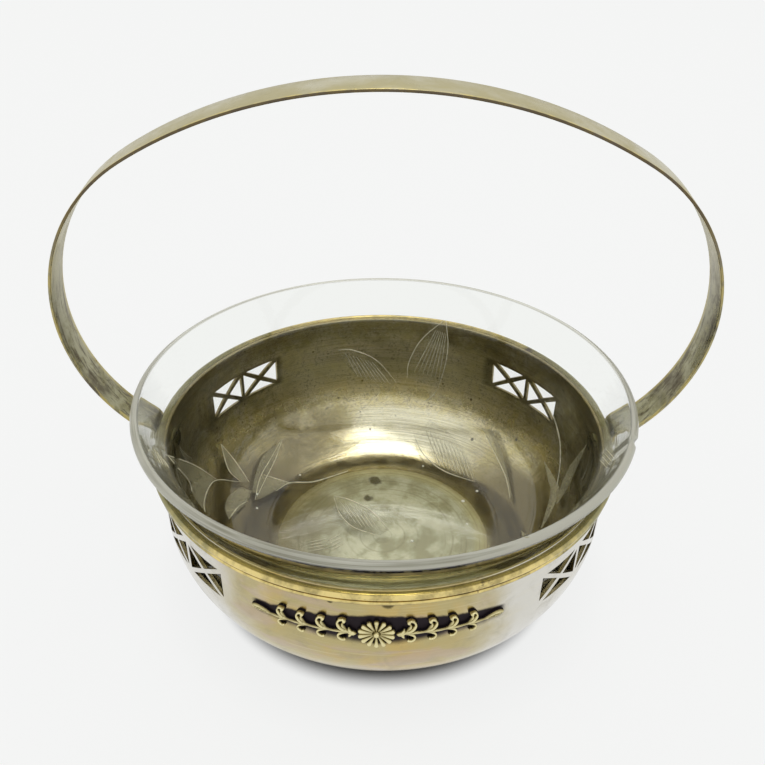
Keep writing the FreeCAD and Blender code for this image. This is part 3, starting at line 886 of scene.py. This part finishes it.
def hoopLine():
    # outer line of the hoop's right half, from the crown down to the tab, with the way out at each point
    outer = handle["inner"] + handle["thickness"]
    span = outer + handle["swell"]
    rise = handle["topLevel"] - handle["wideLevel"]
    shoulder = handle["shoulderShare"] * rise
    middle = span - shoulder
    crown = (middle ** 2 + rise ** 2 - shoulder ** 2) / (2 * (rise - shoulder))
    crownUp = handle["topLevel"] - crown
    meet = math.degrees(math.atan2(handle["wideLevel"] - crownUp, middle))
    bend = 2 * math.atan(handle["swell"] / (handle["wideLevel"] - handle["tab"]))
    flank = (handle["wideLevel"] - handle["tab"]) / math.sin(bend) - handle["foot"]
    bend = math.degrees(bend)
    path = []

    def sweep(across, up, radius, first, last, count, inward=False):
        for i in range(count + 1):
            angle = math.radians(first + (last - first) * i / count)
            out = Vector((math.cos(angle), math.sin(angle)))
            spot = Vector((across, up)) + out * radius
            if not path or (spot - path[-1][0]).length > 1e-4:
                path.append((spot, -out if inward else out))

    sweep(0, crownUp, crown, 90, meet, 26)
    sweep(middle, handle["wideLevel"], shoulder, meet, 0, 22)
    sweep(span - flank, handle["wideLevel"], flank, 0, -bend, 22)
    sweep(outer + handle["foot"], handle["tab"], handle["foot"], 180 - bend, 180, 8, inward=True)
    low = -handle["width"] / 2
    for i in range(1, 19):
        share = math.sin(math.pi / 2 * i / 18)
        path.append((Vector((outer, handle["tab"] + (low - handle["tab"]) * share)), Vector((1, 0))))
    return path


def makeHandle():
    half = hoopLine()
    path = [(Vector((-spot.x, spot.y)), Vector((-out.x, out.y))) for spot, out in reversed(half[1:])]
    path += half
    thick = handle["thickness"]
    work = bmesh.new()
    rings = []
    for spot, out in path:
        # the tab's end is a half circle
        reach = handle["width"] / 2
        if spot.y < 0:
            reach = math.sqrt(max(reach ** 2 - spot.y ** 2, 0.02))
        edge = min(handle["edgeRound"], reach * 0.5)
        section = []
        for side, depth, first in ((1, edge, 0), (-1, edge, 90), (-1, thick - edge, 180), (1, thick - edge, 270)):
            middle = Vector((side * (reach - edge), -depth))
            for i in range(4):
                angle = math.radians(first + 30 * i)
                section.append(middle + edge * Vector((math.cos(angle), math.sin(angle))))
        places = [Vector((spot.x + out.x * up, across, spot.y + out.y * up)) for across, up in section]
        rings.append([work.verts.new(place * mm) for place in places])
    for one, other in zip(rings[:-1], rings[1:]):
        for i in range(len(one)):
            j = (i + 1) % len(one)
            work.faces.new((one[i], one[j], other[j], other[i]))
    work.faces.new(rings[0][::-1])
    work.faces.new(rings[-1])
    bmesh.ops.recalc_face_normals(work, faces=work.faces)
    lean = Matrix.Rotation(math.radians(handle["lean"]), 4, "X")
    lean = Matrix.Translation((0, 0, handle["pivotLevel"] * mm)) @ lean
    bmesh.ops.transform(work, matrix=lean, verts=work.verts)
    mesh = toMesh(work, "handleStrap")
    finishMesh("handleStrap", mesh, strapPlateWithPaintedLight, "handle", ["handle_strap"])


strapPlateWithPaintedLight = strapMaterial()
makeHandle()
print("handle made")

# rivets and the spacers behind the strap
rivet = {
    "shank": 1.2,
    "head": 2.2,
    "headHeight": 1.1,
    "headRound": 0.9,
    "tail": 2.0,
    "tailHeight": 0.3,
    "tailGap": 0.1,
    "spacer": 2.5,
    "spacerRound": 0.12,
    "bore": 1.25,
    "gap": 0.08,
}


def makeRivets():
    tail = bowl["wall"] - bowl["sheet"] - rivet["tailGap"]
    tailEnd = tail - rivet["tailHeight"]
    head = handle["inner"] + handle["thickness"] + rivet["gap"]
    headEnd = head + rivet["headHeight"]
    outline = [
        (0, tailEnd), (rivet["tail"] - 0.1, tailEnd), (rivet["tail"], tailEnd + 0.1), (rivet["tail"], tail),
        (rivet["shank"], tail), (rivet["shank"], head), (rivet["head"], head),
    ]
    soft = rivet["headRound"]
    outline += arcPoints(rivet["head"] - soft, headEnd - soft, soft, 0, 90, 8)
    outline.append((0, headEnd))
    near, far = bowl["wall"] + rivet["gap"], handle["inner"] - rivet["gap"]
    wide, soft = rivet["spacer"], rivet["spacerRound"]
    ring = [(rivet["bore"], near), (wide, near), (wide, far - soft), (wide - soft, far), (rivet["bore"], far)]
    for side, word in ((1, "right"), (-1, "left")):
        place = Matrix.Translation((0, 0, handle["pivotLevel"] * mm)) @ Matrix.Scale(side, 4, (1, 0, 0))
        for name, shape, node in (("Rivet", outline, "_rivet"), ("Spacer", ring, "_spacer")):
            mesh = spin([shape], 64, axis="X")
            mesh.transform(place)
            if side < 0:
                mesh.flip_normals()
            finishMesh(word + name, mesh, bareBrassWithPaintedShade, "basket", [word + node])


makeRivets()
print("rivets made")

# glass liner
liner = {
    "outer": 51.6,
    "base": 1.0,
    "wall": 2.0,
    "floor": 2.6,
    "corner": 22.7,
    "flare": 30.5,
    "flareLength": 11.85,
    "neck": 9.0,
    "chipAt": 69.0,
    "chipAngle": 1.9,
    "chipDepth": 0.55,
    "chipFrom": (0.0562, 0.0492),
}

glass = {
    "tint": (0.965, 0.975, 0.955),
    "shade": (0.94, 0.95, 0.92),
    # a painted shade
    "neckShade": (0.46, 0.44, 0.27),
    # the lip greys are partly a painted shade for the dark bowl seen through the glass
    "lip": (0.66, 0.65, 0.54),
    "lipDark": (0.33, 0.32, 0.23),
    "frost": (0.56, 0.52, 0.32),
    "frostBright": (0.94, 0.89, 0.66),
}


def glassMaterial():
    material, shader = newMaterial("clearGlassWithPaintedShade", roughness=0.0)
    spot = objectSpot()
    radius, level, turned = spinning(spot)
    x, y = apart(spot)[:2]
    on = {"aside": calc("ABSOLUTE", x), "y": y, "level": level}
    # the front of the neck is tinted dark olive, a painted shade for the dark inside seen through it
    neckShade = covered([("y", -0.012, -0.036), ("level", 0.036, 0.040)], on)
    paint(shader, blend(neckShade, glass["tint"], glass["neckShade"]))
    shader.inputs["Transmission Weight"].default_value = 1.0
    shader.inputs["IOR"].default_value = 1.4
    shader.inputs["Specular IOR Level"].default_value = 0.3
    ripple = clouds(turned, (1.5, 1.5, 260), 3, 0.5)
    bump(shader, times(ripple, band(level, 0.02, 0.034)), 0.05, 0.5)

    # the lip is ground dull, with darker lines along it; its grey, also on the sides of the neck at the front,
    # partly stands for the dark bowl seen through the glass, a painted shade
    lip = addNode("BsdfPrincipled")
    lines = band(clouds(turned, (1.2, 1.2, 1400), 3, 0.6), 0.48, 0.66)
    paint(lip, blend(lines, glass["lip"], glass["lipDark"]))
    lip.inputs["Roughness"].default_value = 0.3
    tilt = math.radians(liner["flare"])
    past = calc("MULTIPLY", calc("SUBTRACT", radius, liner["outer"] * mm), math.sin(tilt))
    past = calc("MULTIPLY_ADD", calc("SUBTRACT", level, bowl["rimLevel"] * mm), math.cos(tilt), past)
    end = liner["flareLength"] * mm
    side = covered([("aside", 0.034, 0.048), ("y", -0.002, -0.016), ("level", 0.0405, 0.043), 0.25], on)
    dull = calc("MAXIMUM", side, band(past, end + 0.0001, end + 0.0006, 0.0, 0.7))
    ground = mixShaders(dull, shader.outputs[0], lip.outputs[0])

    # light goes through to what lies behind
    clear = addNode("BsdfTransparent", {"Color": glass["shade"]})
    shadow = addNode("LightPath").outputs["Is Shadow Ray"]
    showSurface(mixShaders(shadow, ground, clear.outputs[0]))
    return material


def linerOutline():
    outer, wall, flare = liner["outer"], liner["wall"], liner["flare"]
    tilt = math.radians(flare)
    cornerMiddle = outer - liner["corner"]
    cornerUp = liner["base"] + liner["corner"]
    neckMiddle = outer + liner["neck"]
    neckUp = bowl["rimLevel"] - liner["neck"] * math.tan(tilt / 2)
    lipX = outer + liner["flareLength"] * math.sin(tilt) - wall / 2 * math.cos(tilt)
    lipUp = bowl["rimLevel"] + liner["flareLength"] * math.cos(tilt) + wall / 2 * math.sin(tilt)
    outline = [(0, liner["base"]), (14, liner["base"])]
    outline += arcPoints(cornerMiddle, cornerUp, liner["corner"], -90, 0, 30)
    outline += arcPoints(neckMiddle, neckUp, liner["neck"], 180, 180 - flare, 8)
    outline += arcPoints(lipX, lipUp, wall / 2, -flare, 180 - flare, 14)
    outline += arcPoints(neckMiddle, neckUp, liner["neck"] + wall, 180 - flare, 180, 8)
    floorUp = liner["base"] + liner["floor"]
    outline += arcPoints(cornerMiddle, floorUp + liner["corner"] - wall, liner["corner"] - wall, 0, -90, 30)
    outline += [(14, floorUp), (0, floorUp)]
    return outline


def makeLiner():
    mesh = spin([linerOutline()], 360)
    tree = searchable(mesh)
    # a small chip in the lip
    chipRadius, chipLevel = liner["chipFrom"]
    for vert in mesh.vertices:
        azimuth = math.degrees(math.atan2(vert.co.x, -vert.co.y))
        off = abs(azimuth - liner["chipAt"]) / liner["chipAngle"]
        if off < 1 and math.hypot(vert.co.x, vert.co.y) > chipRadius and vert.co.z > chipLevel:
            inward = Vector((-vert.co.x, -vert.co.y, -0.02)).normalized()
            vert.co += inward * liner["chipDepth"] * mm * (1 - off ** 2)
    finishMesh("glassLiner", mesh, clearGlassWithPaintedShade, "liner", ["glass_liner"], sharp=60)
    return tree


clearGlassWithPaintedShade = glassMaterial()
linerTree = makeLiner()
print("liner made")

# wheel engraving on the liner, drawn over the photograph's pixels and thrown on to the glass:
# each leaf is two edges that meet at its tip, each line a row of points
leaves = {
    "leftPetal": ([(221, 444), (225, 460), (230, 472), (241, 482)],
                  [(221, 444), (232, 457), (242, 471), (249, 482)], 0.3),
    "broadLeaf": ([(282, 440), (264, 455), (256, 473), (252, 493)],
                  [(282, 440), (273, 463), (265, 479), (257, 493)], 0.36),
    "rightPetal": ([(290, 483), (277, 479), (264, 475), (256, 484)],
                   [(290, 483), (275, 491), (264, 497), (256, 500)], 0.34),
    "lowPetal": ([(229, 519), (225, 509), (228, 497), (241, 487)],
                 [(229, 519), (238, 511), (247, 502), (252, 491)], 0.36),
    "farPetal": ([(168, 455), (182, 460), (198, 467), (216, 479)],
                 [(168, 455), (178, 468), (189, 480), (207, 491)], 0.28),
    "farPetalFoot": ([(193, 482), (192, 490), (196, 500), (205, 511)],
                     [(215, 480), (209, 489), (206, 498), (205, 511)], 0.3),
    "backPetal": ([(338, 350), (352, 350), (376, 360), (396, 382)],
                  [(338, 350), (346, 364), (360, 378), (388, 393)], 0.07),
    "tallPetal": ([(443, 321), (421, 340), (409, 362), (407, 378)],
                  [(446, 321), (448, 345), (445, 366), (438, 388)], 0.07),
    "lowBackPetal": ([(414, 436), (424, 455), (444, 471), (475, 482)],
                     [(430, 420), (451, 434), (466, 454), (476, 480)], 0.05),
    "paleStreak": ([(482, 428), (491, 445), (501, 465), (510, 496)],
                   [(492, 430), (500, 447), (506, 466), (512, 496)], 0.3),
    "rightLeafLeft": ([(544, 461), (548, 479), (550, 495), (541, 528)],
                      [(544, 461), (555, 479), (559, 493), (543, 529)], 0.4),
    "rightLeafRight": ([(587, 444), (573, 462), (563, 480), (556, 505)],
                       [(587, 444), (578, 465), (568, 487), (558, 503)], 0.36),
    "rightFoot": ([(521, 530), (524, 533), (528, 536)],
                  [(523, 538), (527, 538), (530, 537)], 0.4),
    "floorPetal": ([(334, 496), (350, 500), (371, 511), (389, 530)],
                   [(334, 498), (340, 514), (353, 527), (380, 535)], 0.12),
    "rimLeft": ([(152, 446), (158, 452), (164, 459), (170, 467)],
                [(153, 456), (158, 463), (163, 467), (168, 468)], 0.22),
    "rimRight": ([(600, 462), (604, 453), (608, 450), (613, 449)],
                 [(602, 468), (609, 464), (613, 459), (615, 452)], 0.24),
}

lines = {
    "leftPetalEdge": leaves["leftPetal"][0],
    "leftPetalSide": leaves["leftPetal"][1],
    "broadStem": [(280, 442), (270, 460), (260, 478), (255, 500)],
    "broadSide": [(282, 440), (275, 460), (264, 482), (257, 497)],
    "rightPetalEdge": [(290, 483), (277, 479), (264, 475)],
    "tendril": [(276, 491), (290, 483), (312, 482), (330, 477), (348, 471)],
    "lowStroke": [(248, 501), (238, 507), (229, 519)],
    "farStroke": [(240, 482), (217, 480), (208, 489), (204, 503), (205, 512)],
    "farEdge": [(166, 455), (182, 460), (198, 467), (216, 479)],
    "farLowEdge": [(168, 456), (178, 468), (189, 481), (192, 492)],
    "backPetalEdge": leaves["backPetal"][0],
    "tallEdge": leaves["tallPetal"][0],
    "tallSide": leaves["tallPetal"][1],
    "tallBase": [(424, 402), (432, 396), (439, 387)],
    "lowBackEdge": leaves["lowBackPetal"][0],
    "streakStem": [(486, 436), (497, 458), (506, 478), (510, 498)],
    "thinStem": [(545, 401), (555, 421), (560, 443), (560, 465), (557, 486)],
    "floorEdge": leaves["floorPetal"][0],
    "floorLowEdge": [(334, 498), (340, 514), (353, 527), (375, 535)],
}

# hatching: first stroke, last stroke and how many lie between them
hatches = {
    "backPetal": ([(345, 353), (358, 377)], [(372, 362), (390, 384)], 8),
    "tallPetal": ([(436, 330), (414, 372)], [(446, 334), (439, 380)], 7),
    "lowBack": ([(425, 428), (440, 466)], [(460, 448), (473, 479)], 9),
    "floorPetal": ([(340, 502), (358, 526)], [(366, 511), (378, 530)], 6),
    "floorLow": ([(328, 541), (340, 535)], [(330, 551), (343, 544)], 4),
    "floorFar": ([(306, 543), (326, 539)], [(308, 551), (328, 548)], 4),
    "rimLeft": ([(154, 449), (160, 463)], [(163, 459), (169, 468)], 4),
    "rimRight": ([(600, 460), (607, 468)], [(607, 450), (614, 458)], 4),
}

engraving = {
    "above": 0.03,
    "sunk": 0.03,
    "longest": 4.0,
    "tip": 0.3,
    "leafColumns": 5,
    "leafStep": 0.003,
    "lineHalfWidth": 0.42,
    "lineFrost": 0.8,
    "hatchHalfWidth": 0.36,
    "hatchFrost": 0.7,
    "strokeLift": 0.06,
}


def frostMaterial():
    material, shader = newMaterial("frostedCut", roughness=0.55)
    cut = addNode("Attribute", attribute_name="frost").outputs["Fac"]
    grain = clouds(objectSpot(), 700, 4, 0.6)
    paint(shader, blend(band(cut, 0.42, 0.7), glass["frost"], glass["frostBright"]))
    frosted = times(cut, band(grain, 0.25, 0.7, 0.6, 1.25))
    clear = addNode("BsdfTransparent").outputs[0]
    showSurface(mixShaders(frosted, clear, shader.outputs[0]))
    return material


def engrave(work, layer, first, second, frost, columns, lift):
    # a thin closed sheet between two rows of pixels, laid on the glass
    spots = {}
    for i, (one, other) in enumerate(zip(first, second)):
        for j in range(columns + 1):
            spots[(i, j)] = throw(linerTree, one + (other - one) * (j / columns))
    # no cell is stretched from the near side of the glass to the far one
    cells = []
    for i in range(len(first) - 1):
        for j in range(columns):
            keys = [(i, j), (i + 1, j), (i + 1, j + 1), (i, j + 1)]
            sides = [(spots[keys[k]][0] - spots[keys[k - 1]][0]).length for k in range(4)]
            if max(sides) < engraving["longest"] * mm:
                cells.append(keys)

    def vertAt(key, top):
        spot, out = spots[key]
        vert = work.verts.new(spot + out * (engraving["above"] + lift if top else -engraving["sunk"]) * mm)
        vert[layer] = frost
        return vert

    laySkins(work, cells, vertAt)


def widened(points, half, parts=6):
    # the two sides of a line that narrows towards both of its ends
    path = smoothPath(points, parts)
    run = np.gradient(path, axis=0)
    length = np.maximum(np.linalg.norm(run, axis=1)[:, None], 1e-9)
    side = np.stack([-run[:, 1], run[:, 0]], axis=1) / length
    share = np.linspace(0, 1, len(path))[:, None]
    width = half * (0.35 + 0.65 * np.sin(np.pi * share))
    return path + side * width, path - side * width


def makeEngraving():
    work = bmesh.new()
    layer = work.verts.layers.float.new("frost")
    for i, (first, second, frost) in enumerate(leaves.values()):
        one, other = smoothPath(first, 6), smoothPath(second, 6)
        for end in (0, -1):
            one[end] -= (engraving["tip"], 0.0)
            other[end] += (engraving["tip"], 0.0)
        engrave(work, layer, one, other, frost, engraving["leafColumns"], engraving["leafStep"] * i)
    for points in lines.values():
        one, other = widened(points, engraving["lineHalfWidth"])
        engrave(work, layer, one, other, engraving["lineFrost"], 1, engraving["strokeLift"])
    for first, last, count in hatches.values():
        first, last = np.array(first, float), np.array(last, float)
        for i in range(count):
            stroke = first + (last - first) * i / (count - 1)
            one, other = widened(stroke, engraving["hatchHalfWidth"], 5)
            engrave(work, layer, one, other, engraving["hatchFrost"], 1, engraving["strokeLift"])
    bmesh.ops.recalc_face_normals(work, faces=work.faces)
    mesh = toMesh(work, "engravedFlowers")
    finishMesh("engravedFlowers", mesh, frostMaterial(), "liner", [], sharp=180)


makeEngraving()
print("engraving made")

# seeds of air near the glass surface, painted pale as a painted glint: pixel across, pixel down, radius in
# millimetres
seeds = [
    (300, 475, 0.32), (423, 466, 0.3), (477, 491, 0.42), (463, 501, 0.5),
    (467, 524, 0.32), (412, 541, 0.4), (257, 494, 0.35), (257, 508, 0.35),
]
seed = {"flat": 0.35, "pale": (0.95, 0.94, 0.86), "dull": (0.75, 0.74, 0.62)}


def seedMaterial():
    material, shader = newMaterial("airSeedGlint", roughness=0.15)
    paint(shader, blend(clouds(objectSpot(), 500, 2), seed["pale"], seed["dull"]))
    return material


def makeSeeds():
    work = bmesh.new()
    for across, down, radius in seeds:
        spot, out = throw(linerTree, (across, down))
        turn = out.to_track_quat("Z", "Y").to_matrix().to_4x4()
        place = Matrix.Translation(spot) @ turn @ Matrix.Diagonal((1, 1, seed["flat"], 1))
        bmesh.ops.create_uvsphere(work, u_segments=16, v_segments=10, radius=radius * mm, matrix=place)
    mesh = toMesh(work, "glassSeeds")
    finishMesh("glassSeeds", mesh, seedMaterial(), "liner", [], sharp=180)


makeSeeds()
print("seeds made")

# studio: pale floor, white surroundings and two soft lamps overhead
studio = {
    "floor": (0.915, 0.92, 0.915),
    "floorReach": 6.0,
    "glow": (0.041, 0.047, 0.0, 0.92),
    "cornerReach": 0.015,
    "world": 0.79,
    "aim": (0, 0, 0.02),
}

# place, width, depth and power of each soft lamp
lamps = {
    "ceilingLamp": ((0.0, 0.45, 1.5), 0.32, 0.66, 2.8),
    "frontLamp": ((0.25, -0.3, 1.5), 0.5, 0.5, 1.3),
}


def seenRays():
    # what camera, mirror and glass see
    path = addNode("LightPath").outputs
    seen = calc("MAXIMUM", path["Is Camera Ray"], path["Is Glossy Ray"])
    return calc("MAXIMUM", seen, path["Is Transmission Ray"])


def makeFloor():
    mesh = bpy.data.meshes.new("studioFloor")
    reach = studio["floorReach"]
    corners = [(-reach, -reach, 0), (reach, -reach, 0), (reach, reach, 0), (-reach, reach, 0)]
    mesh.from_pydata(corners, [], [(0, 1, 2, 3)])
    floor = addObject("studioFloor", mesh)
    material, shader = newMaterial("floorPaper", roughness=0.95)
    shader.inputs["Specular IOR Level"].default_value = 0.1
    # the shadow close under the bowl is deep
    sockets = {"Color": studio["floor"], "Distance": studio["cornerReach"]}
    corner = addNode("AmbientOcclusion", sockets, samples=4)
    paint(shader, corner.outputs["Color"])
    # further out the floor is partly white by itself, with the shadow still on it
    glow = addNode("Emission", {"Color": studio["floor"], "Strength": 1.0})
    away = spinning(objectSpot())[0]
    amount = times(seenRays(), band(away, *studio["glow"]))
    showSurface(mixShaders(amount, shader.outputs[0], glow.outputs[0]))
    mesh.materials.append(material)


def makeWorld():
    world = bpy.data.worlds.new("studioWorld")
    world.use_nodes = True
    current["tree"] = world.node_tree
    light = world.node_tree.nodes["Background"]
    light.inputs["Color"].default_value = (1, 1, 1, 1)
    light.inputs["Strength"].default_value = studio["world"]
    white = addNode("Background", {"Color": studio["floor"], "Strength": 1.0})
    showSurface(mixShaders(seenRays(), light.outputs[0], white.outputs[0]), "World Output")
    bpy.context.scene.world = world


def makeLamps():
    for name, (place, width, depth, watts) in lamps.items():
        data = bpy.data.lights.new(name, "AREA")
        data.shape = "RECTANGLE"
        data.size = width
        data.size_y = depth
        data.energy = watts
        lamp = addObject(name, data)
        lamp.location = place
        lamp.rotation_mode = "QUATERNION"
        lamp.rotation_quaternion = (Vector(studio["aim"]) - lamp.location).to_track_quat("-Z", "Y")


makeFloor()
makeWorld()
makeLamps()
bpy.context.scene.view_settings.view_transform = "Standard"
print("studio ready")
